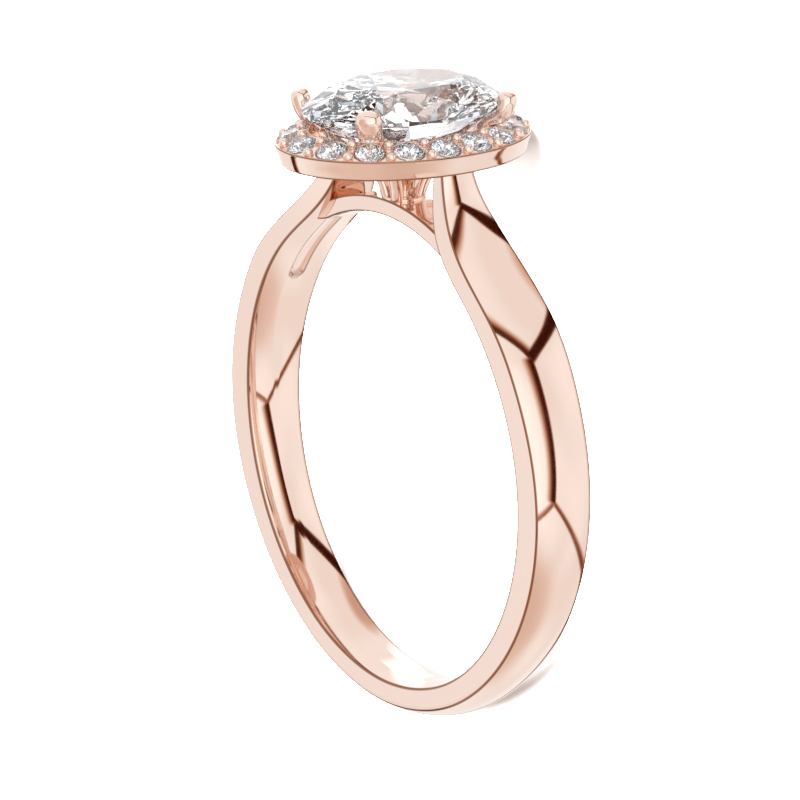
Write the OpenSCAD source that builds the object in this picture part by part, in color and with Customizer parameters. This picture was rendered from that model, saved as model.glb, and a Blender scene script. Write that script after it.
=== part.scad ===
// Halo ring with an oval centre stone, lying on its side.
// The ring is drawn standing, with the finger along Y and the stones at +Z,
// and the last step lays it down on its halo rim and the rear edge of its band.

/* [Band] */
// Radius of the finger hole at the crest of its rounded inner face
bore_r = 8.45; // [7.5:0.05:9.5]
// Length of the straight stretch of the finger hole along the finger
land_w = 0.9; // [0.6:0.1:1.2]
// How far the inner face falls back from its crest to its edges
comfort_h = 0.17; // [0.05:0.01:0.25]
// Thickness of the band's flat side face at the bottom of the ring
side_t = 0.80; // [0.6:0.05:1.2]
// How much thicker the side face is halfway up the ring
side_gain = 0.36; // [0.1:0.02:0.5]
// How far the outer face bulges above its edges, at the bottom of the ring
dome_h = 0.36; // [0.1:0.02:0.5]
// How much flatter that bulge is halfway up the ring
dome_ease = 0.18; // [0:0.02:0.2]
// Half of the band's width, halfway up the ring
half_w = 1.13; // [0.9:0.01:1.3]

/* [Shoulders] */
// Width of the slot in the underside of each shoulder
slot_w = 0.55; // [0.3:0.05:0.7]
// Depth of that slot
slot_d = 0.45; // [0.2:0.05:0.5]
// Half of the bridge's width along the finger
bridge_half_w = 0.75; // [0.6:0.05:0.9]
// Thickness of the bridge under the halo
bridge_t = 0.58; // [0.4:0.02:0.8]

/* [Halo] */
// Half of the halo's length along the finger, at its top edge
halo_a = 4.8; // [4.6:0.05:5.2]
// Half of the halo's width across the finger, at its top edge
halo_b = 3.7; // [3.5:0.05:4.1]
// Angle at which the halo's diamonds lean outwards
halo_lean = 22; // [10:1:25]
// Height of the halo's underside above the finger hole's centre
halo_z = 10.55; // [10.4:0.01:10.8]
// Height of the halo's outer wall
halo_h = 0.73; // [0.6:0.01:0.9]
// How much the outer wall draws in towards its lower edge
halo_draft = 0.2; // [0.05:0.05:0.4]
// Number of diamonds in the halo
halo_count = 17; // [15:1:17]
// Diameter of a halo diamond
halo_stone_d = 1.02; // [0.9:0.02:1.06]
// Radius of a bead that holds the halo diamonds
bead_r = 0.18; // [0.15:0.01:0.22]

/* [Centre stone] */
// Half of the centre diamond's length along the finger
stone_a = 3.85; // [3.5:0.05:3.9]
// Half of the centre diamond's width across the finger
stone_b = 2.75; // [2.5:0.05:2.9]
// Height of the centre diamond's girdle above the finger hole's centre
stone_z = 12.34; // [12.2:0.01:12.6]
// Radius of a claw at its rounded tip
claw_r = 0.43; // [0.35:0.01:0.5]
// Height of the middle of a claw's rounded tip above the finger hole's centre
claw_z = 12.44; // [12.3:0.01:12.7]
// Space kept between a diamond and the metal
gap = 0.04; // [0.03:0.01:0.06]

/* [Hidden] */
$fn = 48;

function stone_name(i) = str("halo_diamond_", i < 10 ? "0" : "", i);

gold = "#e2aa90";
diamond = "#eef2f6";

// Small helpers on lists and curves

function mix(a, b, t) = a + (b - a) * t;

// Catmull-Rom spline through four neighbouring rows of a table, at t from 0 to 1
function spline(p0, p1, p2, p3, t) =
    0.5 * (2 * p1 + (p2 - p0) * t + (2 * p0 - 5 * p1 + 4 * p2 - p3) * pow(t, 2)
        + (3 * p1 - p0 - 3 * p2 + p3) * pow(t, 3));

function smooth_rows(rows, steps) = let (last = len(rows) - 1)
    [for (i = [0 : last - 1]) for (k = [0 : steps - 1])
        spline(rows[max(i - 1, 0)], rows[i], rows[i + 1], rows[min(i + 2, last)], k / steps),
     rows[last]];

// Closed tube through rings of points, each ring with the same number of points
module skin(rings) {
    n = len(rings[0]);
    m = len(rings);
    sides = [for (j = [0 : m - 2]) for (i = [0 : n - 1])
        each [[j * n + i, (j + 1) * n + i, (j + 1) * n + (i + 1) % n],
              [j * n + i, (j + 1) * n + (i + 1) % n, j * n + (i + 1) % n]]];
    ends = [[for (i = [0 : n - 1]) i], [for (i = [n - 1 : -1 : 0]) (m - 1) * n + i]];
    polyhedron(points = [for (r = rings) each r], faces = concat(ends, sides), convexity = 8);
}

// Band and shoulders: one row for each section, from the bottom of the ring up to the head.
// The columns are the inner edge's x and z, the outer edge's x and z, half of the width,
// the bulge of the outer face and the crest of the inner face.

edge_r = bore_r + comfort_h;
bottom_r = edge_r + side_t;
half_rise = 0.2;
half_bow = 0.11;
bottom_half = half_w - half_rise + half_bow;

function band_row(a) = let (
        outer = bottom_r + side_gain * pow(sin(a), 4),
        up = -cos(a),
        half = half_w + half_rise * up + half_bow * pow(up, 2),
        dome = dome_h - dome_ease * pow(sin(min(a, 90)), 2))
    [edge_r * sin(a), edge_r * up, outer * sin(a), outer * up, half, dome, comfort_h];

band_top = 120;
shoulder_rows = [
    [6.30, 5.88, 7.42, 6.03, 1.27, 0.19, 0.17],
    [5.30, 6.80, 6.28, 7.06, 1.27, 0.19, 0.17],
    [4.35, 7.58, 5.27, 7.87, 1.21, 0.18, 0.15],
    [3.60, 8.32, 4.49, 8.63, 1.08, 0.16, 0.11],
    [3.12, 9.12, 3.90, 9.38, 0.89, 0.13, 0.08],
    [2.86, 9.91, 3.50, 10.08, 0.73, 0.11, 0.06],
    [2.75, 10.84, 3.24, 10.92, 0.62, 0.09, 0.05]];

half_rows = concat([for (a = [0 : 15 : band_top]) band_row(a)], shoulder_rows);
rise = smooth_rows(half_rows, 3);

function mirrored(row) = [-row[0], row[1], -row[2], row[3], row[4], row[5], row[6]];

ring_rows = concat([for (i = [len(rise) - 1 : -1 : 1]) mirrored(rise[i])], rise);

outer_steps = 8;
flank_steps = 3;
overlap = 0.02;

// Depth of the inner face's rounding at a distance y from the middle: full over the straight
// stretch, falling off as a circle does towards the edge
function crest(y, half) = let (run = (y - land_w / 2) / (half - land_w / 2)) 1 - run * run;

// One section: up the front side, over the domed outer face and back over the inner face
function section(row) = let (
        inner = [row[0], 0, row[1]],
        outer = [row[2], 0, row[3]],
        out = (outer - inner) / norm(outer - inner))
    concat(
        [for (k = [0 : outer_steps]) let (f = 2 * k / outer_steps - 1)
            outer + out * row[5] * (1 - f * f) + [0, f * row[4], 0]],
        [for (side = [1, -1]) for (k = [0 : flank_steps]) let (
                step = side > 0 ? k : flank_steps - k,
                y = mix(row[4], land_w / 2, step / flank_steps))
            inner - out * (row[6] * crest(y, row[4]) + (step == flank_steps ? overlap : 0))
                + [0, side * y, 0]]);

module band() {
    skin([for (row = ring_rows) section(row)]);
}

// The finger hole's straight stretch, on the finger's axis
module finger_hole(length) {
    rotate([90, 0, 0]) cylinder(r = bore_r, h = length, center = true, $fn = 72);
}

// Flat strip bent round the finger between two angles from the top of the ring. It starts
// a little inside the finger hole's wall, where the hole is cut open later.
under = 0.3;
module bent_strip(thick, width, from, to) {
    rotate([90, 0, 0]) rotate([0, 0, 90 + from]) rotate_extrude(angle = to - from, $fn = 96)
        translate([bore_r - under, -width / 2]) square([thick + under, width]);
}

bridge_angle = 31;
module bridge() {
    bent_strip(bridge_t, 2 * bridge_half_w, -bridge_angle, bridge_angle);
}

slot_low = 56;
slot_high = 33;
module shoulder_slot() {
    bent_strip(slot_d, slot_w, slot_high, slot_low);
    rotate([0, -slot_low, 0]) translate([0, 0, bore_r - under])
        cylinder(d = slot_w, h = slot_d + under, $fn = 24);
}

// Halo: a rim whose section follows an ellipse. Each profile point is a distance in from
// the top edge and a height.

halo_top = halo_z + halo_h;
lip_w = 0.09;
floor_drop = 0.06;
deck_in = 1.2;
halo_in = 1.85;
collar_h = 0.35;
soft = 0.1;
deck_top = halo_top - floor_drop + deck_in * tan(halo_lean);
halo_profile = [
    [halo_in, halo_z + soft], [halo_draft + soft, halo_z], [halo_draft, halo_z + soft / 2],
    [soft / 5, halo_top - soft], [0, halo_top - soft / 2], [soft / 3, halo_top],
    [lip_w, halo_top], [lip_w + soft / 3, halo_top - floor_drop],
    [deck_in, deck_top], [deck_in + soft, deck_top - soft], [halo_in, halo_z + collar_h]];
rim_sides = 48;

function on_ellipse(a, b, t) = [b * sin(t), -a * cos(t)];

module halo_rim() {
    n = len(halo_profile);
    points = [for (i = [0 : rim_sides - 1]) for (p = halo_profile)
        concat(on_ellipse(halo_a - p[0], halo_b - p[0], 360 * i / rim_sides), [p[1]])];
    faces = [for (i = [0 : rim_sides - 1]) for (k = [0 : n - 1]) let (
            i2 = (i + 1) % rim_sides, k2 = (k + 1) % n)
        each [[i * n + k, i * n + k2, i2 * n + k2], [i * n + k, i2 * n + k2, i2 * n + k]]];
    polyhedron(points = points, faces = faces, convexity = 6);
}

// Places along the halo at equal steps of arc length
row_in = 0.6;
row_a = halo_a - row_in;
row_b = halo_b - row_in;
fine = 720;
function arc_lengths(i = 0, total = 0, sums = []) = i > fine ? sums :
    let (here = on_ellipse(row_a, row_b, 360 * i / fine),
         next = on_ellipse(row_a, row_b, 360 * (i + 1) / fine))
    arc_lengths(i + 1, total + norm(next - here), concat(sums, [total]));
arcs = arc_lengths();
function angle_at(share) = lookup(share * arcs[fine],
    [for (i = [0 : fine]) [arcs[i], 360 * i / fine]]);

function halo_angle(i) = angle_at((i - 1) / halo_count);
function bead_angle(i) = angle_at((i - 0.5) / halo_count);

girdle_lift = 0.19;
halo_girdle_z = halo_top + girdle_lift;

// Places its children on the row at an angle, with X outwards and Z along the lean
module on_row(angle) {
    translate(concat(on_ellipse(row_a, row_b, angle), [halo_girdle_z]))
        rotate([0, halo_lean, atan2(-row_b * cos(angle), row_a * sin(angle))]) children();
}

bead_off = 0.36;
bead_drop = 0.04;
module beads() {
    for (i = [1 : halo_count]) on_row(bead_angle(i)) for (off = [-bead_off, bead_off])
        translate([off, 0, -bead_drop]) sphere(r = bead_r, $fn = 8);
}

// Cone-shaped seat of one halo diamond, a little wider than the diamond
seat_deep = 0.5;
seat_tip = 0.06;
module halo_seat(i) {
    r = halo_stone_d / 2 + gap;
    on_row(halo_angle(i)) rotate_extrude($fn = 12)
        polygon([[0, -gap - seat_deep], [seat_tip, -gap - seat_deep], [r, -gap],
            [r, seat_deep - gap], [0, seat_deep - gap]]);
}

// Basket: four legs rise from the bridge, run through the halo and end as claws over the
// centre diamond. The columns are x, y, z and the radius.

claw_rows = [
    [0.32, 0.46, 9.00, 0.26],
    [0.62, 0.92, 10.30, 0.28],
    [1.46, 2.30, 11.17, 0.34],
    [1.66, 2.42, 11.72, 0.38],
    [2.12, 2.82, claw_z, claw_r]];

module rod(from, to) {
    d = [to[0] - from[0], to[1] - from[1], to[2] - from[2]];
    translate([from[0], from[1], from[2]])
        rotate([0, acos(d[2] / norm(d)), atan2(d[1], d[0])])
            cylinder(r1 = from[3], r2 = to[3], h = norm(d), $fn = 10);
}

module claw(sx, sy) {
    rows = [for (r = claw_rows) [sx * r[0], sy * r[1], r[2], r[3]]];
    for (i = [0 : len(rows) - 2]) rod(rows[i], rows[i + 1]);
    for (i = [1 : len(rows) - 1]) translate([rows[i][0], rows[i][1], rows[i][2]])
        sphere(r = rows[i][3], $fn = i < len(rows) - 1 ? 8 : 12);
}

// Cup under the halo: it flares from a round foot to the halo's oval opening. The columns
// are half of its length along the finger, half of its width and the height.

cup_wall = 0.26;
cup_floor = 0.1;
foot_r = 0.7;
foot_h = 0.2;
arch_r = 0.17;
arch_z = 9.32;
bridge_top = bore_r + bridge_t;
cup_rows = [
    [0.52, 0.52, bridge_top + 0.06],
    [0.58, 0.57, 9.42],
    [0.76, 0.72, 9.86],
    [1.16, 1.02, 10.22],
    [2.00, 1.44, 10.49],
    [3.10, 2.00, 10.67]];
cup_sides = 24;

module flare(rows) {
    skin([for (r = rows) [for (i = [1 : cup_sides])
        concat(on_ellipse(r[0], r[1], 360 * i / cup_sides), [r[2]])]]);
}

module cup() {
    translate([0, 0, bridge_top - foot_h / 2]) cylinder(r = foot_r, h = foot_h, $fn = 24);
    difference() {
        flare(cup_rows);
        flare([for (r = cup_rows) [r[0] - cup_wall, r[1] - cup_wall, r[2] + cup_floor]]);
        for (side = [0, 90]) translate([0, 0, arch_z]) rotate([90, 0, side])
            cylinder(r = arch_r, h = 4 * foot_r, center = true, $fn = 12);
    }
}

// Brilliant-cut diamond with its girdle round the origin, cut from its corner points:
// table, star and girdle corners above, girdle and main corners below. The shares are of
// the stone's width. The star corners lie in the planes of the kite facets and the lower
// corners in those of the main facets, so each facet is flat.

table_share = 0.59;
crown_share = 0.15;
pavilion_share = 0.43;
girdle_share = 0.03;
star_out = 0.42;
lower_in = 0.22;
turn = 22.5;

function ring_at(share, z, first, count) =
    [for (i = [0 : count - 1]) let (t = first + 360 * i / count) [share * sin(t), share * cos(t), z]];

// How far the girdle's edge dips between its tips, next to a facet that rises by up on its
// way in to the share r
function dip(up, r) = up * (1 / cos(turn / 2) - 1) / (1 - r);

// Corners of a stone of radius 1
function brilliant_corners() = let (
        crown = 2 * crown_share,
        pavilion = 2 * pavilion_share,
        star = mix(table_share, 1, star_out),
        star_up = crown * (1 - (star * cos(turn) - table_share) / (1 - table_share)),
        lower_down = pavilion * (1 - lower_in * cos(turn)))
    concat(
        ring_at(table_share, girdle_share + crown, turn, 8),
        ring_at(star, girdle_share + star_up, 0, 8),
        ring_at(1, girdle_share, 0, 16),
        ring_at(1, girdle_share - dip(star_up, star), turn / 2, 16),
        ring_at(1, -girdle_share, 0, 16),
        ring_at(1, dip(lower_down, lower_in) - girdle_share, turn / 2, 16),
        ring_at(lower_in, -girdle_share - lower_down, 0, 8),
        [[0, 0, -girdle_share - pavilion]]);

module brilliant(a, b) {
    corners = [for (p = brilliant_corners()) [b * p[0], a * p[1], min(a, b) * p[2]]];
    hull() polyhedron(points = corners, faces = [[for (i = [0 : len(corners) - 1]) i]]);
}

module centre_diamond() {
    color(diamond) laid_down() translate([0, 0, stone_z]) brilliant(stone_a, stone_b);
}

module halo_diamond(i) {
    r = halo_stone_d / 2;
    color(diamond) laid_down() on_row(halo_angle(i)) brilliant(r, r);
}

// The head, kept at its full length and width: halo, beads, cup and claws, with the
// diamonds' seats cut in
module head() {
    resize([2 * halo_b, 2 * halo_a, 0]) difference() {
        union() {
            halo_rim();
            beads();
            cup();
            for (sx = [-1, 1]) for (sy = [-1, 1]) claw(sx, sy);
        }
        for (i = [1 : halo_count]) halo_seat(i);
        translate([0, 0, stone_z]) brilliant(stone_a + gap, stone_b + gap);
    }
}

// The soldered gold: band, bridge and head in one piece
module ring_mount() {
    color(gold) laid_down() difference() {
        union() {
            band();
            bridge();
            head();
        }
        finger_hole(2 * bridge_half_w + 2);
        for (side = [0, 1]) mirror([side, 0, 0]) shoulder_slot();
    }
}

// Laying down: the finger's axis turns upright, and the ring leans on its halo
rest_tilt = atan((halo_a - bottom_half) / (halo_top + bottom_r));
module laid_down() {
    rotate([-90 + rest_tilt, 0, 0]) children();
}

ring_mount();
centre_diamond();
for (i = [1 : halo_count]) halo_diamond(i);
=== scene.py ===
# %% [markdown]
# # A halo ring in polished rose gold
#
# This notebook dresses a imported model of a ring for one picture: a domed band with two
# rising shoulders, an oval diamond in four claws and a halo of small round diamonds.
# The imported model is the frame. Its diamonds stay, because a cut stone is nothing but
# flat facets, and flat facets are what the solids hold exactly. The gold is drawn again
# here, because polished metal shows every crease of a coarse surface.

import bpy
import numpy as np
from mathutils import Matrix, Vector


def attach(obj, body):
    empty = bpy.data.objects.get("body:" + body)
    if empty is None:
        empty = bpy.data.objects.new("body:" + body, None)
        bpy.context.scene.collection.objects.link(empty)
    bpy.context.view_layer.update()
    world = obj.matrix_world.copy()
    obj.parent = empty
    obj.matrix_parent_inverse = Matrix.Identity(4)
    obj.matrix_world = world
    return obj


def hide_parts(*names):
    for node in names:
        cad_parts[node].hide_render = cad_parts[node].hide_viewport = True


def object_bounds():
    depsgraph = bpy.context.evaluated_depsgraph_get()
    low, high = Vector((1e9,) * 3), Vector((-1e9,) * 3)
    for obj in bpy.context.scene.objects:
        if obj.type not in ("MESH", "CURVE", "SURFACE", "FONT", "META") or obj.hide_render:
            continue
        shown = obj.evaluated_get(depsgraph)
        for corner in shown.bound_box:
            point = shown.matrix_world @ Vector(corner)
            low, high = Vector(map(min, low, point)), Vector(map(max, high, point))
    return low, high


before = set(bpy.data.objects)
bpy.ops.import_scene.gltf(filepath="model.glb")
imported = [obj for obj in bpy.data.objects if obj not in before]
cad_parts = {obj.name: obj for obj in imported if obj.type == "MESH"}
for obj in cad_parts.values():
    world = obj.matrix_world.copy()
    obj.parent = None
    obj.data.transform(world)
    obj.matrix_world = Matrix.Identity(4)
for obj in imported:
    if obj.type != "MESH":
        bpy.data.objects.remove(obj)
cad_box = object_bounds()
print("nodes:", len(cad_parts), "box in mm:", [round(1000 * v, 2) for c in cad_box for v in c])

# %% [markdown]
# ## One pair of axes for drawing, one for lying down
#
# A ring is easiest to draw standing: x across it, y along the finger, z up to the stones,
# all in millimetres from the centre of the finger hole. The finished ring lies on its
# side, leaning on the halo, so every point is turned once about x and scaled to metres.
# The lean follows from the two places that touch the table: the halo's far tip and the
# far edge of the band's foot.

# %% The turn that lays the ring down
MM = 0.001
BORE_R = 8.45
HALO_A, HALO_B, HALO_LOW, HALO_TOP = 4.8, 3.7, 10.55, 11.28
FOOT_R, FOOT_HALF = 9.42, 1.04

LEAN = np.arctan2(HALO_A - FOOT_HALF, HALO_TOP + FOOT_R)
LAY = np.array([[1, 0, 0],
                [0, np.sin(LEAN), np.cos(LEAN)],
                [0, -np.cos(LEAN), np.sin(LEAN)]])


def laid(points):
    """Points drawn standing, in mm, turned onto the table and given in metres: LAY times p."""
    return np.asarray(points) @ LAY.T * MM


print("the ring leans", round(float(np.degrees(LEAN)), 2), "degrees")

# %% [markdown]
# ## From grids of points to meshes
#
# Each piece below is a surface with two parameters, worked out on a grid as one array.
# Blender could also sweep a curve or smooth a rough cage, but a formula keeps each face
# where a drawing would put it. A single helper turns such a grid into a mesh. A direction
# that comes back to its start is wrapped, and open ends get a flat cap, so every piece is
# closed.

# %% A mesh from a grid of points


def unit(v):
    """v divided by its length, for each vector in an array."""
    return v / np.linalg.norm(v, axis=-1, keepdims=True)


def grid_faces(n, m, wrap_rows, start=0):
    """Corner numbers of the quads between n rows of m points, where each row is a closed loop."""
    rows = np.arange(n if wrap_rows else n - 1)[:, None]
    cols = np.arange(m)[None, :]
    down, right = (rows + 1) % n, (cols + 1) % m
    quads = np.stack([rows * m + cols, rows * m + right, down * m + right, down * m + cols], -1)
    return quads.reshape(-1, 4) + start


def piece(name, grids, material, wrap_rows=False, flip=False, edge=None):
    """One object from a list of grids (n rows, m columns, 3), each row a closed loop of points.
    edge gives each point's amount of painted dark line along corners and of painted shade, which
    darkens the gold's colour."""
    verts, faces, start = [], [], 0
    for g in grids:
        n, m = g.shape[:2]
        verts.append(g.reshape(-1, 3))
        faces += grid_faces(n, m, wrap_rows, start).tolist()
        if not wrap_rows:
            faces.append(list(range(start + m - 1, start - 1, -1)))
            faces.append(list(range(start + (n - 1) * m, start + n * m)))
        start += n * m
    if flip:
        faces = [f[::-1] for f in faces]
    mesh = bpy.data.meshes.new(name)
    mesh.from_pydata(laid(np.concatenate(verts)), [], faces)
    mesh.update()
    mesh.shade_smooth()
    # the edge attribute carries the painted dark lines and painted shade into the gold's colour
    if edge is not None:
        values = np.ravel(edge).astype(np.float32)
        mesh.attributes.new("edge", "FLOAT", "POINT").data.foreach_set("value", values)
    mesh.materials.append(material)
    obj = bpy.data.objects.new(name, mesh)
    bpy.context.scene.collection.objects.link(obj)
    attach(obj, "root")
    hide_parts("ring_mount")
    print(name, "has", len(faces), "faces")


print("faces in a tube of 4 loops of 6 points:", len(grid_faces(4, 6, False)))

# %% [markdown]
# ## The finishes
#
# Rose gold of 14 carat is gold with about a third of copper, and a jeweller brings it to
# a mirror with a felt wheel and rouge. That gives the eye sharp reflections with a pink
# cast, and under a loupe the faintest haze of wiping marks. A metal's colour is the
# colour of its reflections, so it goes into the base colour with metallic at 1, and the
# haze is a slow change of roughness. A rounded corner mirrors a dark seam of the tent as a
# fine brown line, and that line is painted into the colour as a painted reflection. So the
# colour follows a number that each mesh carries: how near a point is to a corner.

# %% Colours and nodes


def linear(hex_colour):
    """An sRGB hex colour as linear RGBA: c / 12.92 below 0.04045, above it
    ((c + 0.055) / 1.055)^2.4."""
    c = np.array([int(hex_colour[i:i + 2], 16) for i in (1, 3, 5)]) / 255
    c = np.where(c <= 0.04045, c / 12.92, ((c + 0.055) / 1.055) ** 2.4)
    return (*c.tolist(), 1.0)


def add_node(tree, kind, links=(), **settings):
    """Adds a node, sets its sockets and properties by name, and makes its links, each given
    as (its socket, from node, from socket)."""
    node = tree.nodes.new(kind)
    for key, value in settings.items():
        if key in node.inputs:
            node.inputs[key].default_value = value
        else:
            setattr(node, key, value)
    for socket, source, output in links:
        tree.links.new(source.outputs[output], node.inputs[socket])
    return node


def new_material(name):
    """An empty node material and its Principled shader."""
    material = bpy.data.materials.new(name)
    material.use_nodes = True
    return material, material.node_tree, material.node_tree.nodes["Principled BSDF"]


print("pale gold in linear values:", [round(v, 3) for v in linear("#f2dacd")])

# %% Polished rose gold
WIPE_MM, WIPED_ROUGH, HAZY_ROUGH = 1.6, 0.04, 0.09
polished_rose_gold, tree, shader = new_material("polished_rose_gold")
place = add_node(tree, "ShaderNodeTexCoord")
haze = add_node(tree, "ShaderNodeTexNoise", [("Vector", place, "Object")],
                Scale=1 / (WIPE_MM * MM), Detail=3.0, Roughness=0.6)
rough = add_node(tree, "ShaderNodeMapRange", [("Value", haze, "Fac")])
rough.inputs["To Min"].default_value = WIPED_ROUGH
rough.inputs["To Max"].default_value = HAZY_ROUGH
tree.links.new(rough.outputs["Result"], shader.inputs["Roughness"])
# painted reflection and painted shade: the mesh's edge number turns the pale gold brown along
# corners, where a dark seam would be mirrored, and in the slot
painted_dark_amount = add_node(tree, "ShaderNodeAttribute", attribute_name="edge")
colour = add_node(tree, "ShaderNodeValToRGB", [("Fac", painted_dark_amount, "Fac")])
colour.color_ramp.elements[0].color = linear("#f2dacd")
colour.color_ramp.elements[1].color = linear("#94664e")
tree.links.new(colour.outputs["Color"], shader.inputs["Base Color"])
shader.inputs["Metallic"].default_value = 1.0
print("rose gold: haze patches of", WIPE_MM, "mm, roughness", WIPED_ROUGH, "to", HAZY_ROUGH)

# %% [markdown]
# A colourless diamond is clear carbon ground to flat facets and polished on a scaife. Its
# index of refraction of 2.417 is what makes it: most light that enters the crown is
# turned back by the facets below, so the stone shows crisp patches of white, grey and
# black. It gets full transmission and no roughness. One diamond in three glows faintly
# blue in daylight, more in some zones of its growth than in others, and that hides the
# warm tint of the gold round it. So the colour drifts between white and a breath of blue.

# %% Cut diamond
ZONE_MM, DIAMOND_IOR = 2.0, 2.417
cut_diamond, tree, shader = new_material("cut_diamond")
place = add_node(tree, "ShaderNodeTexCoord")
zones = add_node(tree, "ShaderNodeTexNoise", [("Vector", place, "Object")],
                 Scale=1 / (ZONE_MM * MM), Detail=1.0)
glow = add_node(tree, "ShaderNodeValToRGB", [("Fac", zones, "Fac")])
glow.color_ramp.elements[0].position, glow.color_ramp.elements[1].position = 0.35, 0.65
glow.color_ramp.elements[0].color = linear("#eaf0f7")
glow.color_ramp.elements[1].color = linear("#f8fbfe")
tree.links.new(glow.outputs["Color"], shader.inputs["Base Color"])
shader.inputs["Transmission Weight"].default_value = 1.0
shader.inputs["Roughness"].default_value = 0.0
shader.inputs["IOR"].default_value = DIAMOND_IOR
stones = [o for name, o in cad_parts.items() if "diamond" in name]
for stone in stones:
    stone.data.materials.clear()
    stone.data.materials.append(cut_diamond)
print("stones:", len(stones))

# %% [markdown]
# ## The band and its shoulders
#
# The band is one bar of gold, bent round the finger and swept up into the halo. Its
# section has two flat sides, a domed outer face and a gently domed inner face, called a
# comfort fit. A bent and bevelled bar would keep one section all the way, and this one
# changes. So a few sections are set down, from the bottom of the ring to the halo,
# and a smooth cubic curve runs through every one of them. One half is mirrored to the
# other.

# %% Sections of the band
BOTTOM_T, SIDE_GAIN, DOME, DOME_EASE, CREST = 0.80, 0.36, 0.36, 0.18, 0.17
HALF_W, HALF_RISE, HALF_BOW = 1.13, 0.2, 0.11
EDGE_R = BORE_R + CREST

angle = np.radians(np.arange(0, 121, 15))
outer_r = EDGE_R + BOTTOM_T + SIDE_GAIN * np.sin(angle) ** 4
up = -np.cos(angle)
lower = np.stack([EDGE_R * np.sin(angle), EDGE_R * up, outer_r * np.sin(angle), outer_r * up,
                  HALF_W + HALF_RISE * up + HALF_BOW * up ** 2,
                  DOME - DOME_EASE * np.sin(np.minimum(angle, np.pi / 2)) ** 2,
                  np.full_like(up, CREST)], -1)
# inner x and z, outer x and z, half width, bulge outside, crest inside
shoulder = np.array([[6.30, 5.88, 7.42, 6.03, 1.27, 0.19, 0.17],
                     [5.30, 6.80, 6.28, 7.06, 1.27, 0.19, 0.17],
                     [4.35, 7.58, 5.27, 7.87, 1.21, 0.18, 0.15],
                     [3.60, 8.32, 4.49, 8.63, 1.08, 0.16, 0.11],
                     [3.12, 9.12, 3.90, 9.38, 0.89, 0.13, 0.08],
                     [2.86, 9.91, 3.50, 10.08, 0.73, 0.11, 0.06],
                     [2.75, 10.84, 3.24, 10.92, 0.62, 0.09, 0.05]])
half_rows = np.concatenate([lower, shoulder])
print("sections set down for one half:", len(half_rows))

# %% A smooth run of sections
STEPS, CALM_REACH = 20, 14


def spline(rows, steps):
    """A cubic through every row, between p1 and p2 it is half of
    2p1 + (p2 - p0)t + (2p0 - 5p1 + 4p2 - p3)t^2 + (3p1 - p0 - 3p2 + p3)t^3."""
    i = np.arange(len(rows) - 1)
    p0, p1 = rows[np.maximum(i - 1, 0)][:, None], rows[i][:, None]
    p2, p3 = rows[i + 1][:, None], rows[np.minimum(i + 2, len(rows) - 1)][:, None]
    t = (np.arange(steps) / steps)[None, :, None]
    curve = 0.5 * (2 * p1 + (p2 - p0) * t + (2 * p0 - 5 * p1 + 4 * p2 - p3) * t ** 2
                   + (3 * p1 - p0 - 3 * p2 + p3) * t ** 3)
    return np.concatenate([curve.reshape(-1, rows.shape[1]), rows[-1:]])


def calm(rows, reach):
    """Moving average over +-reach sections, taken twice, with the shrinking that it causes
    added back: 2 a - a(a)."""
    def average(r):
        padded = np.concatenate([2 * r[0] - r[reach:0:-1], r, 2 * r[-1] - r[-2:-reach - 2:-1]])
        total = np.cumsum(np.concatenate([np.zeros((1, r.shape[1])), padded]), axis=0)
        return (total[2 * reach + 1:] - total[:-2 * reach - 1]) / (2 * reach + 1)
    once = average(average(rows))
    return 2 * once - average(average(once))


right_half = spline(half_rows, STEPS)
left_half = right_half[:0:-1] * np.array([-1, 1, -1, 1, 1, 1, 1])
ring_rows = calm(np.concatenate([left_half, right_half]), CALM_REACH)
print("sections along the band:", len(ring_rows))

# %% [markdown]
# A polished corner is never sharp: the wheel rounds it to a few hundredths of a
# millimetre, and that thin round mirrors a dark seam of the tent as a fine line along each
# edge of the band. That line is painted into the gold's colour as a painted reflection.
# A Bevel modifier could round the corners as well, but this painted line needs to know
# which points lie on one. So each corner of the section becomes a small quadratic curve,
# and the painted line fades with the distance along the section. The points next to a
# corner stay close together, which keeps the flats flat when the shading is smoothed.

# %% Round corners and their hairline
# EDGE_FADE and FAR_FADE set how far the painted dark line reaches from a corner
ROUND, EDGE_FADE, FAR_FADE = 0.04, 0.025, 0.12


def corner(a, c, b, steps=5):
    """Quadratic curve from a to b that bends at c: (1-t)^2 a + 2t(1-t) c + t^2 b, without
    its ends."""
    t = np.linspace(0, 1, steps + 2)[1:-1][None, :, None]
    return (1 - t) ** 2 * a[:, None] + 2 * t * (1 - t) * c[:, None] + t ** 2 * b[:, None]


def nearness(loops, corners):
    """1 on the columns of each corner, given as (first, last, fade), and 1 - d / fade at a
    distance d from them along the loop."""
    step = np.linalg.norm(np.diff(loops, axis=1), axis=-1)
    run = np.concatenate([np.zeros((len(loops), 1)), np.cumsum(step, axis=1)], 1)
    near = np.zeros(run.shape)
    for first, last, fade in corners:
        d = np.maximum(run[:, first, None] - run, run - run[:, last, None])
        near = np.maximum(near, np.clip(1 - d / fade, 0, 1))
    return near


print("corners are rounded over", ROUND, "mm, and their hairline fades in", EDGE_FADE, "mm")

# %% [markdown]
# The underside of each shoulder has a long shallow slot, cut with a ball-ended burr. A
# Boolean cut would leave ragged faces round it, so its rim, wall and floor are columns of
# the band's own section, and they spread and sink only where the slot is. A brown painted
# reflection lines its rim, and painted shade darkens the stretch where its floor climbs
# out at the low end.

# %% The slot under each shoulder
SLOT_W, SLOT_D, SLOT_LOW, SLOT_HIGH, NO_SLOT, SLOT_END = 0.62, 0.14, 56.0, 33.0, 0.14, 0.3
SLOT_ACROSS = np.array([0.05, 0.01, -0.02, -0.07, -0.1])
SLOT_SUNK = np.array([0, 0, 0.25, 0.85, 1.0])
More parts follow.
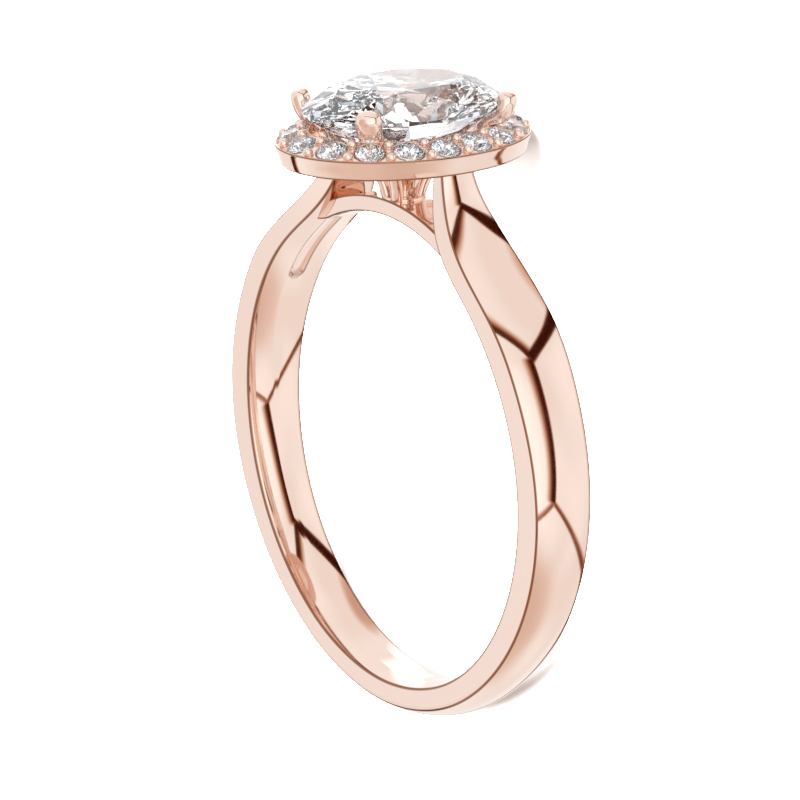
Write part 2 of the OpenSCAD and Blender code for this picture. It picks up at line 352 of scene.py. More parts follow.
# RIM_FADE and RIM_TONE: reach and darkness of the painted dark line on the slot's rim; END_TONE:
# darkness of the painted shade where the slot runs out
RIM_FADE, RIM_TONE, END_TONE = 0.05, 0.8, 0.6


def slot_shape(rows):
    """Half width and depth of the slot at each section. Its low end is round,
    w = sqrt(r^2 - s^2), and its floor climbs over the last stretch."""
    from_top = np.degrees(np.arctan2(np.abs(rows[:, 0]), rows[:, 1]))
    past_end = np.radians(from_top - SLOT_LOW) * BORE_R
    radius = SLOT_W / 2
    width = np.sqrt(np.clip(radius ** 2 - np.clip(past_end, 0, radius) ** 2, NO_SLOT ** 2, None))
    inside = from_top > SLOT_HIGH - 1
    fall = np.clip((radius - past_end) / SLOT_END, 0, 1)
    return np.where(inside, width, NO_SLOT), np.where(inside, SLOT_D * fall, 0.0)


print("sections with a slot:", int((slot_shape(ring_rows)[1] > 0).sum()))

# %% The band's surface
DOME_COLS, FLANK_COLS = 41, 16
SIDE_SHARE = np.array([0.0, 0.03, 0.2, 0.5, 0.8, 0.93, 1.0])


def band_grid(rows):
    """Each section is a loop of (y, u): y along the finger, u outwards from the inner edge.
    Outer face u = t + dome (1 - f^2), inner face u = -crest (1 - f^2), with f = y / half and
    the sides at f = +-1. Also gives each point's amount of painted dark line and painted shade:
    near a corner, along the slot's rim and where the slot runs out."""
    inner, outer = rows[:, 0:2], rows[:, 2:4]
    thick = np.linalg.norm(outer - inner, axis=1)
    out = (outer - inner) / thick[:, None]
    half, dome, crest = rows[:, 4], rows[:, 5], rows[:, 6]

    def yu(y, u):
        return np.stack(np.broadcast_arrays(y, u), -1)

    f = np.sin(np.linspace(-1, 1, DOME_COLS) * np.pi / 2)[None, :] * (1 - ROUND / half)[:, None]
    dome_part = yu(f * half[:, None], thick[:, None] + dome[:, None] * (1 - f ** 2))
    side_u = thick[:, None] - ROUND - SIDE_SHARE[None, :] * (thick[:, None] - 2 * ROUND)
    side = yu(half[:, None], side_u)

    def inner_u(y):
        return -crest[:, None] * (1 - (y / half[:, None]) ** 2)

    width, depth = slot_shape(rows)
    g = np.linspace(1, 0, FLANK_COLS + 1)[None, :-1]
    reach = (width + SLOT_ACROSS[0])[:, None]
    flank_y = reach + g * ((half - ROUND)[:, None] - reach)
    flank = yu(flank_y, inner_u(flank_y))
    across = width[:, None] + SLOT_ACROSS[None, :]
    slot = yu(across, depth[:, None] * SLOT_SUNK[None, :] + inner_u(across))
    middle = yu(np.zeros((len(rows), 1)), (depth - crest)[:, None])

    def mirrored(part):
        return part[:, ::-1] * np.array([-1, 1])

    inner_part = np.concatenate([flank, slot, middle, mirrored(slot), mirrored(flank)], 1)
    top = yu(half, thick)
    low = yu(half, np.zeros_like(half))
    near_top = corner(dome_part[:, -1], top, side[:, 0])
    near_low = corner(side[:, -1], low, inner_part[:, 0])
    parts = [dome_part, near_top, side, near_low, inner_part,
             mirrored(near_low), mirrored(side), mirrored(near_top)]
    loop, ends = np.concatenate(parts, 1), np.cumsum([part.shape[1] for part in parts])
    y, u = loop[..., 0], loop[..., 1]
    xz = inner[:, None] + out[:, None] * u[..., None]

    # the inner wall never comes closer to the axis than the finger hole
    wall = np.linalg.norm(xz, axis=-1)
    is_inner = np.zeros(wall.shape, bool)
    is_inner[:, ends[3]:ends[4]] = True
    xz = xz * np.where(is_inner & (wall < BORE_R), BORE_R / wall, 1.0)[..., None]

    # the photograph shows a wider brown line along the two corners of the far side, so the painted
    # reflection is wider there
    corners = [(ends[0] - 1, ends[1], FAR_FADE), (ends[2] - 1, ends[3], FAR_FADE),
               (ends[4] - 1, ends[5], EDGE_FADE), (ends[6] - 1, ends[7] - 1, EDGE_FADE),
               (0, 0, EDGE_FADE)]
    # painted dark line along the slot's rim, and painted shade where the slot's floor climbs out at
    # its low end
    rims = [(k, k, RIM_FADE) for k in (ends[3] + FLANK_COLS + 1, ends[4] - FLANK_COLS - 2)]
    deep = (depth / SLOT_D)[:, None]
    rim = RIM_TONE * nearness(loop, rims) * deep
    run_out = np.where(abs(y) < width[:, None], 4 * END_TONE * deep * (1 - deep), 0) * is_inner
    tone = np.maximum(nearness(loop, corners), np.maximum(rim, run_out))
    return np.stack([xz[..., 0], y, xz[..., 1]], -1), tone


band_points, band_painted_dark = band_grid(ring_rows)
piece("band", [band_points], polished_rose_gold, edge=band_painted_dark)

# %% [markdown]
# ## The bridge
#
# Between the shoulders a flat strip closes the circle over the finger. A curve with a
# bevel would do for a plain arc. This one's ends rise into the shoulders, where they are
# soldered, and a formula can say where that starts. So it is the same section all the
# way, a rectangle with rounded corners, carried along an arc whose radius grows.

# %% The bridge
BRIDGE_T, BRIDGE_HALF, BRIDGE_ANGLE, BRIDGE_STEPS = 0.58, 0.75, 35.0, 97
RISE_ANGLE, RISE = 26.0, 0.3


def bar_section(half, low, high, r=ROUND):
    """A loop of (y, radius) round a rectangle, each corner a quadratic curve of size r."""
    def run(a, b):
        t = np.array([0.0, 0.06, 0.5, 0.94, 1.0])[:, None]
        return a + (b - a) * t
    c = np.array([[-half, low], [-half, high], [half, high], [half, low]])
    parts = []
    for k in range(4):
        a, b, d = c[k], c[(k + 1) % 4], c[(k + 2) % 4]
        start, end = a + unit(b - a) * r, b - unit(b - a) * r
        parts += [run(start, end), corner(end[None], b[None], (b + unit(d - b) * r)[None])[0]]
    return np.concatenate(parts)


def arc_grid(section, angles):
    """The section carried round the finger: x = radius sin(a), z = radius cos(a). Near the
    ends the radius grows by rise s^2 (3 - 2 s), where s goes from 0 to 1 between the rise
    angle and the end."""
    s = np.clip((np.abs(angles) - RISE_ANGLE) / (BRIDGE_ANGLE - RISE_ANGLE), 0, 1)[:, None]
    y, radius = section[None, :, 0], section[None, :, 1] + RISE * s ** 2 * (3 - 2 * s)
    a = np.radians(angles)[:, None]
    return np.stack(np.broadcast_arrays(radius * np.sin(a), y, radius * np.cos(a)), -1)


bridge_section = bar_section(BRIDGE_HALF, BORE_R, BORE_R + BRIDGE_T)
bridge_angles = np.linspace(-BRIDGE_ANGLE, BRIDGE_ANGLE, BRIDGE_STEPS)
bridge_corners = [(4, 10), (14, 20), (24, 30), (34, 39), (0, 0)]
# painted reflection: the dark line along the bridge's rounded corners
bridge_painted_dark = nearness(bridge_section[None], [(*ends, EDGE_FADE) for ends in bridge_corners])
piece("bridge", [arc_grid(bridge_section, bridge_angles)], polished_rose_gold, flip=True,
      edge=np.repeat(bridge_painted_dark, BRIDGE_STEPS, 0))

# %% [markdown]
# ## The halo's plate
#
# The halo is an oval ring. Its wall leans in towards the bottom and its top slopes down
# from the centre stone to a thin bright lip at the edge, so the small stones lean
# outwards by twenty-two degrees. Seventeen cone-shaped seats are drilled into it at equal
# steps along the oval. Equal steps of an oval have no formula, so the length is summed
# along a fine curve and read back. Seventeen Boolean cuts would leave slivers that show
# as scratches in a mirror finish. So a seat is drilled by moving the points of the slope
# that are inside it down along its axis, to the surface of the cone.

# %% Seventeen even places on an oval
COUNT, ROW_IN, HALO_LEAN, LIFT = 17, 0.6, np.radians(22), 0.19
ROW_A, ROW_B = HALO_A - ROW_IN, HALO_B - ROW_IN
SEAT_R, SEAT_DEEP, SEAT_TIP, GAP = 0.55, 0.5, 0.06, 0.04
GIRDLE_Z = HALO_TOP + LIFT
FINE_STEPS = 7201


def on_oval(a, b, t):
    """Point at angle t on an oval: x = b sin t, y = -a cos t."""
    return np.stack([b * np.sin(t), -a * np.cos(t)], -1)


def even_angles(count, shift=0.0):
    """Angles at which equal lengths of the stones' oval have gone by, from its front tip:
    the length summed along a fine curve, read back at equal steps."""
    fine = np.linspace(0, 2 * np.pi, FINE_STEPS)
    steps = np.linalg.norm(np.diff(on_oval(ROW_A, ROW_B, fine), axis=0), axis=1)
    run = np.concatenate([[0], np.cumsum(steps)])
    return np.interp((np.arange(count) + shift) / count * run[-1], run, fine)


def outward(t):
    """Unit normal of the stones' oval at angle t, level with the table."""
    return unit(np.stack([ROW_A * np.sin(t), -ROW_B * np.cos(t)], -1))


seat_t = even_angles(COUNT)
seat_xy = on_oval(ROW_A, ROW_B, seat_t)
print("halo stones stand", round(float(np.linalg.norm(seat_xy[1] - seat_xy[0])), 3), "mm apart")

# %% Seats for the small stones


def leaned(t):
    """The two directions of the stones' row at angle t: the lean's axis,
    outward sin(lean) + up cos(lean), and the slope, outward cos(lean) - up sin(lean)."""
    out, level = outward(t), np.zeros((len(t), 1))
    up = np.array([0, 0, 1.0])
    out = np.concatenate([out, level], 1)
    return (out * np.sin(HALO_LEAN) + up * np.cos(HALO_LEAN),
            out * np.cos(HALO_LEAN) - up * np.sin(HALO_LEAN))


def row_point(t):
    """Centre of the girdle plane over the stones' oval at angle t."""
    return np.concatenate([on_oval(ROW_A, ROW_B, t), np.full((len(t), 1), GIRDLE_Z)], 1)


def drilled(p):
    """Points within a seat's radius of its axis go down along it to the cone: depth below
    the girdle = gap + deep (1 - (d - tip) / (r - tip)), with d the distance to the axis."""
    axis = leaned(seat_t)[0]
    away = p[..., None, :] - row_point(seat_t)
    rise = (away * axis).sum(-1)
    d = np.linalg.norm(away - rise[..., None] * axis, axis=-1)
    down = GAP + SEAT_DEEP * (1 - (np.maximum(d, SEAT_TIP) - SEAT_TIP) / (SEAT_R - SEAT_TIP)) + rise
    down = np.where((d < SEAT_R) & (np.abs(rise) < SEAT_R), np.maximum(down, 0), 0)
    return p - (down[..., None] * axis).sum(-2)


over_a_seat = drilled(row_point(seat_t[:1]))[0, 2]
print("a seat goes down to z =", round(float(over_a_seat), 2), "mm")

# %% Profile of the halo's plate
DRAFT, LIP, DECK_IN, PLATE_IN, COLLAR, DROP, DECK_COLS = 0.2, 0.09, 1.2, 1.85, 0.35, 0.06, 46
DECK_LOW = HALO_TOP - DROP
DECK_TOP = DECK_LOW + DECK_IN * np.tan(HALO_LEAN)

# each point is its distance in from the rim, and its height
wall = np.array([[DRAFT + 0.06, HALO_LOW], [DRAFT + 0.02, HALO_LOW + 0.015],
                 [DRAFT, HALO_LOW + 0.05], [DRAFT - 0.02, HALO_LOW + 0.09],
                 [0.11, HALO_LOW + 0.37], [0.03, HALO_TOP - 0.13], [0.015, HALO_TOP - 0.08],
                 [0.0, HALO_TOP - 0.05], [0.0, HALO_TOP - 0.035], [0.01, HALO_TOP - 0.012],
                 [0.03, HALO_TOP]])
lip = np.array([[LIP, HALO_TOP], [LIP + 0.01, HALO_TOP - 0.01], [LIP + 0.02, DECK_LOW + 0.02]])
deck_in = np.linspace(LIP + 0.03, DECK_IN - 0.03, DECK_COLS)
deck = np.stack([deck_in, DECK_LOW + deck_in * np.tan(HALO_LEAN)], -1)
hem = np.array([[DECK_IN - 0.01, DECK_TOP - 0.008], [DECK_IN + 0.015, DECK_TOP - 0.03],
                [DECK_IN + 0.045, DECK_TOP - 0.075], [PLATE_IN - 0.03, HALO_LOW + COLLAR + 0.045],
                [PLATE_IN, HALO_LOW + COLLAR], [PLATE_IN, HALO_LOW + 0.2],
                [PLATE_IN, HALO_LOW + 0.12], [PLATE_IN - 0.03, HALO_LOW + 0.08]])
below = np.stack([np.linspace(PLATE_IN - 0.1, DRAFT + 0.14, 8), np.full(8, HALO_LOW)], -1)
below[0, 1] += 0.04
profile = np.concatenate([wall, lip, deck, hem, below])
print("points in the plate's profile:", len(profile))

# %% The halo's plate
ROWS_PER_STONE = 46
LOWER_CORNER, UPPER_CORNER = (1, 2), (8, 9)


def halo_grid():
    """Rows follow the oval: x = (b - in) sin t, y = -(a - in) cos t for each profile point."""
    t = even_angles(COUNT * ROWS_PER_STONE)[:, None]
    inset, z = profile[None, :, 0], np.repeat(profile[None, :, 1], len(t), 0)
    x, y = (HALO_B - inset) * np.sin(t), -(HALO_A - inset) * np.cos(t)
    p = np.stack(np.broadcast_arrays(x, y, z), -1)
    deck_part = slice(len(wall) + len(lip), len(wall) + len(lip) + DECK_COLS)
    p[:, deck_part] = drilled(p[:, deck_part])
    return p


halo_points = halo_grid()
# painted reflection: the dark line along the plate's two rounded corners
halo_painted_dark = nearness(profile[None], [(*ends, EDGE_FADE) for ends in (LOWER_CORNER, UPPER_CORNER)])
piece("halo_plate", [halo_points], polished_rose_gold, wrap_rows=True, flip=True,
      edge=np.repeat(halo_painted_dark, len(halo_points), 0))

# %% [markdown]
# ## The beads
#
# Two beads of gold stand in each gap between the small stones and hold their edges. A
# setter pushes them up with a graver and rounds them with a hollow punch, so they are
# little balls. Copies of one object would be as good for a picture, but one piece is
# easier to handle. So one ball is worked out once and set down thirty-four times by
# adding its grid to every centre.

# %% The beads
BEAD_R, BEAD_OFF, BEAD_LIFT = 0.18, 0.36, 0.06


def ball_grid(radius, rings=15, sides=24, pole=84):
    """Ball round the origin: (r cos p cos a, r cos p sin a, r sin p), with p from -pole to
    pole in degrees and small caps on the poles."""
    p = np.radians(np.linspace(-pole, pole, rings))[:, None]
    a = np.linspace(0, 2 * np.pi, sides, endpoint=False)[None, :]
    x, y, z = np.cos(p) * np.cos(a), np.cos(p) * np.sin(a), np.sin(p)
    return radius * np.stack(np.broadcast_arrays(x, y, z), -1)


bead_t = even_angles(COUNT, 0.5)
bead_axis, bead_slope = leaned(bead_t)
bead_centres = np.concatenate([row_point(bead_t) + off * bead_slope + BEAD_LIFT * bead_axis
                               for off in (-BEAD_OFF, BEAD_OFF)])
bead_grids = list(ball_grid(BEAD_R)[None] + bead_centres[:, None, None])
piece("beads", bead_grids, polished_rose_gold)

# %% [markdown]
# ## The cup
#
# Under the halo the gold flares out from a small round foot like the mouth of a trumpet.
# Four low arches leave four feet. A lathe would turn a round cup, and this one is oval at
# the top. So the wall is a loop that runs up the outside and down the inside, and its
# lower edge is lifted where an arch is.

# %% The cup
CUP_WALL, ARCH_R, ARCH_Z, CUP_SIDES, CUP_COLS, MOUTH_SLOPE = 0.26, 0.17, 9.32, 256, 40, 0.05
BRIDGE_TOP = BORE_R + BRIDGE_T
# long radius, short radius and height
cup_rows = spline(np.array([[0.52, 0.52, BRIDGE_TOP + 0.06], [0.58, 0.57, 9.42], [0.76, 0.72, 9.86],
                            [1.16, 1.02, 10.22], [2.00, 1.44, 10.49], [3.10, 2.00, 10.67]]), 12)


def cup_grid():
    """Rows turn round the cup. A column goes up the outside, a(z) and b(z), and down the
    inside, one wall's thickness in. The lower edge is z = arch + sqrt(r^2 - s^2) within r of
    an arch's middle."""
    t = np.linspace(0, 2 * np.pi, CUP_SIDES, endpoint=False)
    s = (np.mod(t + np.pi / 4, np.pi / 2) - np.pi / 4) * cup_rows[0, 0]
    base = cup_rows[0, 2]
    arch = ARCH_Z + np.sqrt(np.clip(ARCH_R ** 2 - s ** 2, 0, None))
    edge = np.where(np.abs(s) < ARCH_R, arch, base)
    v = np.linspace(0, 1, CUP_COLS)[None, :]
    z = edge[:, None] + (cup_rows[-1, 2] - edge[:, None]) * v
    a = np.interp(z, cup_rows[:, 2], cup_rows[:, 0])
    b = np.interp(z, cup_rows[:, 2], cup_rows[:, 1])
    t = t[:, None]
    outside = np.stack([b * np.sin(t), -a * np.cos(t), z], -1)
    inside = np.stack([(b - CUP_WALL) * np.sin(t), -(a - CUP_WALL) * np.cos(t),
                       z + MOUTH_SLOPE * v], -1)
    return np.concatenate([outside, inside[:, ::-1]], 1)


piece("cup", [cup_grid()], polished_rose_gold, wrap_rows=True, flip=True)

# %% [markdown]
# The cup stands on a small round disc, soldered to the bridge. It is turned on a lathe, so
# it is drawn as one: a profile swept round an axis. The Screw modifier does the same, and
# a grid keeps it like the other pieces.

# %% The foot's disc
DISC_R, DISC_H = 0.7, 0.2


def lathe_grid(outline, sides=64):
    """An outline of (radius, z) turned about z: (r cos a, r sin a, z), one row a point."""
    a = np.linspace(0, 2 * np.pi, sides, endpoint=False)[None, :]
    r, z = outline[:, 0, None], outline[:, 1, None]
    return np.stack(np.broadcast_arrays(r * np.cos(a), r * np.sin(a), z), -1)


disc_low, disc_top = BRIDGE_TOP - DISC_H / 2, BRIDGE_TOP + DISC_H / 2
disc = np.array([[DISC_R - 0.02, disc_low], [DISC_R, disc_low + 0.02],
                 [DISC_R, disc_top - 0.04], [DISC_R - 0.01, disc_top - 0.012],
                 [DISC_R - 0.04, disc_top], [DISC_R - 0.06, disc_top],
                 [0.3, disc_top], [0.02, disc_top]])
piece("foot_disc", [lathe_grid(disc)], polished_rose_gold)

# %% [markdown]
# ## Legs and claws
#
# Four legs climb from the foot, pass through the halo's opening and end as claws with
# rounded heads that lap over the oval stone's edge. A setter files a notch into each claw
# for the stone. A Boolean cut could do that, but it would leave a raw edge against the
# clearest thing in the picture. Here the same is done with numbers: any point of a claw
# that falls inside the stone is moved out to its surface, sideways below the girdle and
# upwards above it.

# %% The centre stone's outline, for the notches
STONE_A, STONE_B, STONE_Z = 3.85, 2.75, 12.34
GIRDLE, CROWN, PAVILION, TABLE = 0.03 * STONE_B, 0.30 * STONE_B, 0.86 * STONE_B, 0.59


def clear_of_stone(p):
    """Moves points out of the stone, a double cone on an oval: below the girdle its share is
    1 - (girdle - z) / pavilion, above it z = girdle + crown (1 - share) / (1 - table)."""
    x, y, z = p[..., 0], p[..., 1], p[..., 2]
    share = np.sqrt((x / (STONE_B + GAP)) ** 2 + (y / (STONE_A + GAP)) ** 2)
    limit = np.clip(1 - (STONE_Z - GIRDLE - z) / PAVILION, 0, 1)
    is_pavilion = (z < STONE_Z + GIRDLE) & (share < limit)
    sideways = np.where(is_pavilion, limit / np.maximum(share, 1e-6), 1.0)
    crown_z = STONE_Z + GIRDLE + GAP + CROWN * (1 - np.clip(share, TABLE, 1)) / (1 - TABLE)
    lifted = np.where((z >= STONE_Z + GIRDLE) & (share < 1), np.maximum(z, crown_z), z)
    return np.stack([x * sideways, y * sideways, lifted], -1)


on_girdle = clear_of_stone(np.array([2.0, 2.0, STONE_Z]))
print("a point inside the stone at 2, 2 mm moves to", on_girdle[:2].round(2).tolist())

# %% The small stones' outline
SMALL_TOP, OPENING = GIRDLE_Z + 0.27, 5.0


def clear_of_halo(p):
    """Keeps points below the tops of the small stones inside the oval that their inner edges
    touch. Above the tops the oval's size is 1 + opening (z - top)."""
    x, y, z = p[..., 0], p[..., 1], p[..., 2]
    share = np.sqrt((x / (ROW_B - SEAT_R)) ** 2 + (y / (ROW_A - SEAT_R)) ** 2)
    limit = 1 + OPENING * np.clip(z - SMALL_TOP, 0, None)
    inward = np.minimum(limit / share, 1)
    return np.stack([x * inward, y * inward, z], -1)


print("the claws' way through the halo is", round(2 * (ROW_B - SEAT_R), 2), "mm wide")

# %% Legs and claws
FLAT, BLUNT = 0.8, 0.6
# x, y, height and radius along one leg and its claw
claw_rows = spline(np.array([[0.32, 0.46, 9.00, 0.24], [0.42, 0.62, 9.65, 0.25],
                             [0.66, 0.98, 10.30, 0.28], [1.42, 2.14, 11.05, 0.38],
                             [1.60, 2.32, 11.60, 0.41], [1.96, 2.68, 12.00, 0.44],
                             [2.08, 2.80, 12.26, 0.46], [2.14, 2.86, 12.50, 0.46]]), 10)


def tube_grid(rows, sides=48, cap=16):
    """Flattened circles carried along a path: centre + r (cos a side + flat sin a across),
    with side level and across = side x path, and a blunt head: centre + flat r sin(c) path,
    radius r cos(c)^blunt."""
    centre, radius = rows[:, :3], rows[:, 3]
    path = unit(np.gradient(centre, axis=0))
    c = np.radians(np.linspace(0, 89, cap))[1:, None]
    centre = np.concatenate([centre, centre[-1] + FLAT * radius[-1] * np.sin(c) * path[-1]])
    radius = np.concatenate([radius, radius[-1] * np.cos(c[:, 0]) ** BLUNT])
    path = np.concatenate([path, np.repeat(path[-1:], cap - 1, 0)])
    side = unit(np.stack([-path[:, 1], path[:, 0], np.zeros(len(path))], -1))
    across = FLAT * np.cross(side, path)
    a = np.linspace(0, 2 * np.pi, sides, endpoint=False)[None, :, None]
    circle = np.cos(a) * side[:, None] + np.sin(a) * across[:, None]
    return centre[:, None] + radius[:, None, None] * circle


one_claw = clear_of_stone(clear_of_halo(tube_grid(claw_rows)))
quarter = [one_claw * np.array([sx, sy, 1]) for sx in (1, -1) for sy in (1, -1)]
# a grid mirrored once is inside out, so its points run the other way round
claw_grids = [q if q[0, 0, 0] * q[0, 0, 1] > 0 else q[:, ::-1] for q in quarter]
piece("claws", claw_grids, polished_rose_gold, flip=True)

# %% [markdown]
# ## The table
#
# A ring is photographed on a sheet of matte white card, because anything with a pattern
# would come back in the gold. A plain plane at the height of the ring's lowest point is
# enough for it. It is left out of what metal and stones mirror: they see the white tent
# of a later cell instead.

# %% The table
TABLE_SIZE = 4.0
bpy.ops.mesh.primitive_plane_add(size=TABLE_SIZE)
table = bpy.context.object
table.name = "table"
table.location = (0, 0, cad_box[0][2])
table.visible_glossy = table.visible_transmission = False
matte_white_card, tree, shader = new_material("matte_white_card")
shader.inputs["Base Color"].default_value = linear("#fbfbfb")
shader.inputs["Roughness"].default_value = 0.9
table.data.materials.append(matte_white_card)
print("table at", round(1000 * table.location.z, 2), "mm")

# %% [markdown]
# ## The camera
#
# The camera keeps the place that it has to the ring in the photograph: low and to one
# side, far away, with a long lens. Turned with the ring, it now looks down on the table,
# and the picture keeps the ring upright in the frame.

# %% The camera
AZIMUTH, ELEVATION, DISTANCE, LENS = np.radians(56.4), np.radians(16.7), 170.0, 216.5
AIM_SIDE, AIM_UP = -0.129, 1.642
back = np.array([np.sin(AZIMUTH) * np.cos(ELEVATION), -np.cos(AZIMUTH) * np.cos(ELEVATION),
                 np.sin(ELEVATION)])
right = np.array([np.cos(AZIMUTH), np.sin(AZIMUTH), 0.0])
target = AIM_SIDE * right + np.array([0, 0, AIM_UP])
turn = LAY @ np.stack([right, np.cross(back, right), back], 1)
where = laid(target + DISTANCE * back)
camera_data = bpy.data.cameras.new("camera")
camera_data.lens = LENS
camera_data.sensor_width = 36.0
camera_data.clip_start = 0.01
camera_data.clip_end = 10.0
camera = bpy.data.objects.new("camera", camera_data)
bpy.context.scene.collection.objects.link(camera)
placed = [[*axes, spot] for axes, spot in zip(turn, where)]
camera.matrix_world = Matrix([*placed, [0, 0, 0, 1]])
bpy.context.scene.camera = camera
print("camera at mm", [round(1000 * v, 1) for v in where])

# %% [markdown]
# ## The white tent
#
# Polished metal shows the room and little else. A jeweller's photographer puts the ring in
# a tent of white panels. The panels give the gold its broad pale faces, and the dark
# seams where two panels meet draw the fine brown lines on it. The tent could be built of
# planes and lamps, but lamps would show as hot spots. So the panels themselves are the
# light: the whole tent is painted on the world's background, as a brightness that depends
# on the direction alone. A seam lies on the great circle between two corners, and a
# point's height over that circle is a dot product with the circle's normal.

# %% Directions in the tent


def toward(lon, lat):
    """Unit vector (sin lon cos lat, -cos lon cos lat, sin lat), turned by LAY: lon goes from
    the ring's front to its right, lat lifts to its head."""
    lon, lat = np.radians(lon), np.radians(lat)
    return LAY @ np.array([np.sin(lon) * np.cos(lat), -np.cos(lon) * np.cos(lat), np.sin(lat)])


world = bpy.data.worlds.new("white_tent")
bpy.context.scene.world = world
world.use_nodes = True
tent = world.node_tree
sight = add_node(tent, "ShaderNodeTexCoord")


def along(v):
    """The dot product of the line of sight and v."""
    dot = add_node(tent, "ShaderNodeVectorMath", [(0, sight, "Generated")], operation="DOT_PRODUCT")
    dot.inputs[1].default_value = v.tolist()
    return dot


def ramp(node, output, low, high, start, end):
    """Smooth step 3 s^2 - 2 s^3 from start, at low, to end, at high."""
    step = add_node(tent, "ShaderNodeMapRange", [("Value", node, output)],
                    interpolation_type="SMOOTHSTEP")
    for socket, value in zip(("From Min", "From Max", "To Min", "To Max"), (low, high, start, end)):
        step.inputs[socket].default_value = value
    return step


def combined(operation, a, b):
    """Two numbers made one by a Math node, such as their product or the larger one."""
    return add_node(tent, "ShaderNodeMath", [(0, a, 0), (1, b, 0)], operation=operation)


print("the ring's head points along", toward(0, 90).round(2).tolist())

# %% [markdown]
# A seam is not equally soft on both sides: one panel overlaps the other and shades it.
# So the darkness climbs over one width on the one side and falls over another on the
# other. Both widths are angles in degrees, seen from the ring.

# %% The seams
# a seam fades in over this stretch at each end, as sines of the angle past the end
PAST_END = (-0.03, 0.02)


def seam(a, b, before, core, after, depth):
    """Darkness depth within core of the circle from a to b, falling to 0 at before on one
    side and at after on the other, and cut off past a and b."""
    a, b = toward(*a), toward(*b)
    normal = unit(np.cross(a, b))
    s = np.sin(np.radians([before, core, after]))
    across = along(normal)
    line = combined("MULTIPLY", ramp(across, "Value", -s[0], -s[1], 0, depth),
                    ramp(across, "Value", s[1], s[2], 1, 0))
    ends = combined("MULTIPLY", ramp(along(np.cross(normal, a)), "Value", *PAST_END, 0, 1),
                    ramp(along(np.cross(b, normal)), "Value", *PAST_END, 0, 1))
    return combined("MULTIPLY", line, ends)


LOW_CORNER, TOP_CORNER, FAR_CORNER, BACK_CORNER = (109, -11), (124, 42), (75, 78), (172, -33)
# from, to, width before, core and after in degrees, depth
seams = [seam(LOW_CORNER, TOP_CORNER, 2.5, 0.6, 11, 1.0),
         seam(TOP_CORNER, (195, 24), 4.0, 2.4, 4.0, 1.0),
         seam(TOP_CORNER, FAR_CORNER, 9, 1.0, 2.5, 0.95),
         seam(FAR_CORNER, (300, 66), 9, 1.0, 2.5, 0.8),
         seam(LOW_CORNER, BACK_CORNER, 1.6, 0.5, 2.5, 0.8),
         seam(BACK_CORNER, (240, -30), 1.6, 0.5, 2.5, 0.8),
         seam((40, -26), LOW_CORNER, 1.6, 0.4, 3.5, 0.7),
         seam((302, -25), (286, -52), 3.5, 2.4, 9, 0.95)]
darkness = seams[0]
for one in seams[1:]:
    darkness = combined("MAXIMUM", darkness, one)
print("seams in the tent:", len(seams))

# %% [markdown]
# No tent is evenly lit. Some panels face a lamp and others lie in shade, and the cloth
# hangs in shallow folds. Each such patch is a round spot of the tent that is brighter or
# darker than the rest, with a soft edge. Where light has passed between two folds it is
# warmer, so the brightness is read off a scale of colours from brown to white.

# %% The panels


def patch(lon, lat, edge, middle, gain):
    """Brightness gain within middle degrees of a direction, 1 beyond edge degrees."""
    edge, middle = np.cos(np.radians([edge, middle]))
    return ramp(along(toward(lon, lat)), "Value", edge, middle, 1.0, gain)


FOLD_SCALE = 1.3
bright_wall = patch(66, 10, 50, 12, 1.3)
shaded_front = patch(8, -8, 44, 28, 0.8)
shaded_low = patch(56, -60, 50, 10, 0.75)
shaded_back = patch(198, 30, 19, 7, 0.62)
bright_top = patch(236, 17, 17, 9, 1.5)
folds = add_node(tent, "ShaderNodeTexNoise", [("Vector", sight, "Generated")],
                 Scale=FOLD_SCALE, Detail=1.0)
uneven = ramp(folds, "Fac", 0.3, 0.7, 0.97, 1.12)
panels = bright_wall
for shade in (shaded_front, shaded_low, shaded_back, bright_top, uneven):
    panels = combined("MULTIPLY", panels, shade)
open_share = add_node(tent, "ShaderNodeMath", [(1, darkness, 0)], operation="SUBTRACT")
open_share.inputs[0].default_value = 1.0
level = combined("MULTIPLY", panels, open_share)
print("nodes in the tent so far:", len(tent.nodes))

# %% The tent's colours
TENT_COLOURS = {0.12: "#5a2814", 0.35: "#a36c4c", 0.7: "#dfbfad", 0.86: "#f1dfd5", 0.94: "#fbf3ee"}
colours = add_node(tent, "ShaderNodeValToRGB", [("Fac", level, 0)])
for brightness, colour in TENT_COLOURS.items():
    colours.color_ramp.elements.new(brightness).color = linear(colour)
colours.color_ramp.elements[0].color = linear("#3c1206")
colours.color_ramp.elements[-1].color = linear("#ffffff")
strength = add_node(tent, "ShaderNodeMath", [(0, level, 0)], operation="MAXIMUM")
strength.inputs[1].default_value = 1.0
background = tent.nodes["Background"]
tent.links.new(colours.outputs["Color"], background.inputs["Color"])
tent.links.new(strength.outputs[0], background.inputs["Strength"])
print("colours from brown to white:", len(colours.color_ramp.elements))

# %% [markdown]
# A stone in an all-white tent looks like glass. So black cards hang between the panels,
# small enough for the gold to lose them and the stones to find them: light that comes out
# of a facet has met a card or a panel, and the facets part into white, grey and black.
# The tent itself would show behind the ring from a low viewpoint, so straight lines of
# sight end on plain white.

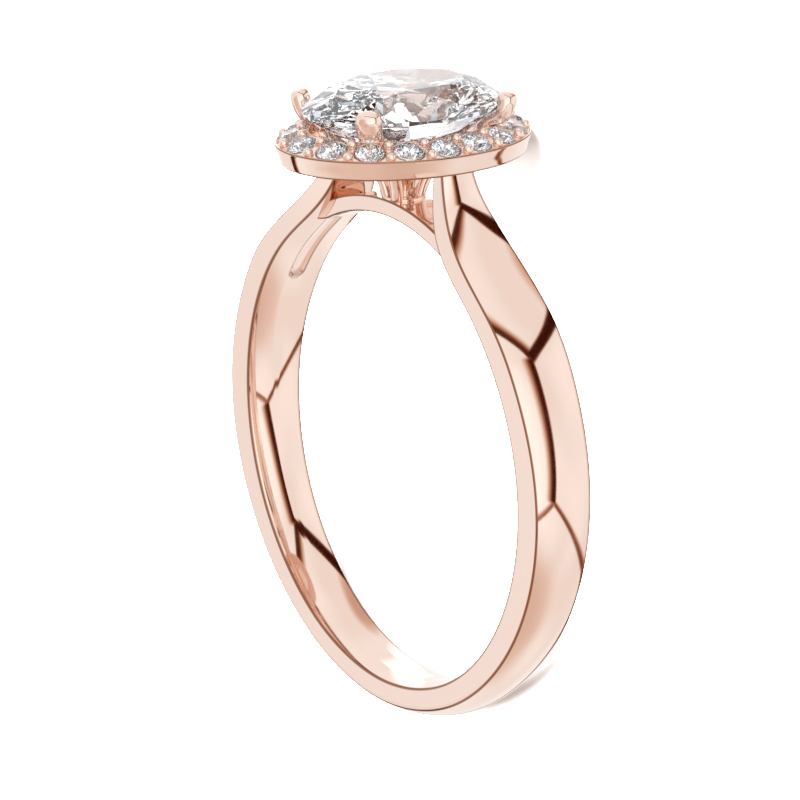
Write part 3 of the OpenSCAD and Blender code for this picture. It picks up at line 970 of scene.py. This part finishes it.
# %% The black cards
CARD_SCALE, CARD_LIGHT = 1.5, 1.72
cards = add_node(tent, "ShaderNodeTexNoise", [("Vector", sight, "Generated")],
                 Scale=CARD_SCALE, Detail=0.5)
card_tone = add_node(tent, "ShaderNodeValToRGB", [("Fac", cards, "Fac")])
black, white = card_tone.color_ramp.elements
black.position, black.color = 0.38, linear("#0c0e10")
white.position, white.color = 0.54, linear("#ffffff")
card_tone.color_ramp.elements.new(0.42).color = linear("#7e8184")
card_tone.color_ramp.elements.new(0.48).color = linear("#dadbdc")
for_stones = add_node(tent, "ShaderNodeBackground", [("Color", card_tone, "Color")],
                      Strength=CARD_LIGHT)
print("black cards at scale", CARD_SCALE, "and brightness", CARD_LIGHT)

# %% Who sees the tent and who sees the cards
ray = add_node(tent, "ShaderNodeLightPath")
either = add_node(tent, "ShaderNodeMixShader",
                  [(0, ray, "Is Transmission Ray"), (1, background, 0), (2, for_stones, 0)])
plain_white = add_node(tent, "ShaderNodeBackground", Color=linear("#f8f8f8"))
seen = add_node(tent, "ShaderNodeMixShader",
                [(0, ray, "Is Camera Ray"), (1, either, 0), (2, plain_white, 0)])
tent.links.new(seen.outputs[0], tent.nodes["World Output"].inputs["Surface"])
print("nodes in the whole tent:", len(tent.nodes))

# %% [markdown]
# ## The lamp and the picture's tones
#
# One large soft lamp above the head gives the table its white and the ring its shadow. A
# sun would draw a hard shadow, and the tent alone hardly any. It is left out of the
# reflections, where the tent is enough. A cut stone sends light round inside it many
# times, so a ray may bounce more often than usual.

# %% The lamp and the bounces
LAMP_SIZE, LAMP_WATTS = 1.6, 100.0
lamp_data = bpy.data.lights.new("soft_lamp", "AREA")
lamp_data.shape = "DISK"
lamp_data.size = LAMP_SIZE
lamp_data.energy = LAMP_WATTS
lamp = bpy.data.objects.new("soft_lamp", lamp_data)
bpy.context.scene.collection.objects.link(lamp)
lamp.location = (-0.15, 0.35, 0.9)
lamp.rotation_euler = lamp.location.to_track_quat("Z", "Y").to_euler()
lamp.visible_glossy = lamp.visible_transmission = False
bounces = bpy.context.scene.cycles
bounces.max_bounces, bounces.glossy_bounces, bounces.transmission_bounces = 20, 14, 18
print("lamp of", LAMP_WATTS, "W,", LAMP_SIZE, "m across")

# %% [markdown]
# The picture is a bright one on white, so it keeps plain sRGB tones. A film-like curve
# would turn the white table grey.

# %% Tones
bpy.context.scene.view_settings.view_transform = "Standard"
print("tones:", bpy.context.scene.view_settings.view_transform)
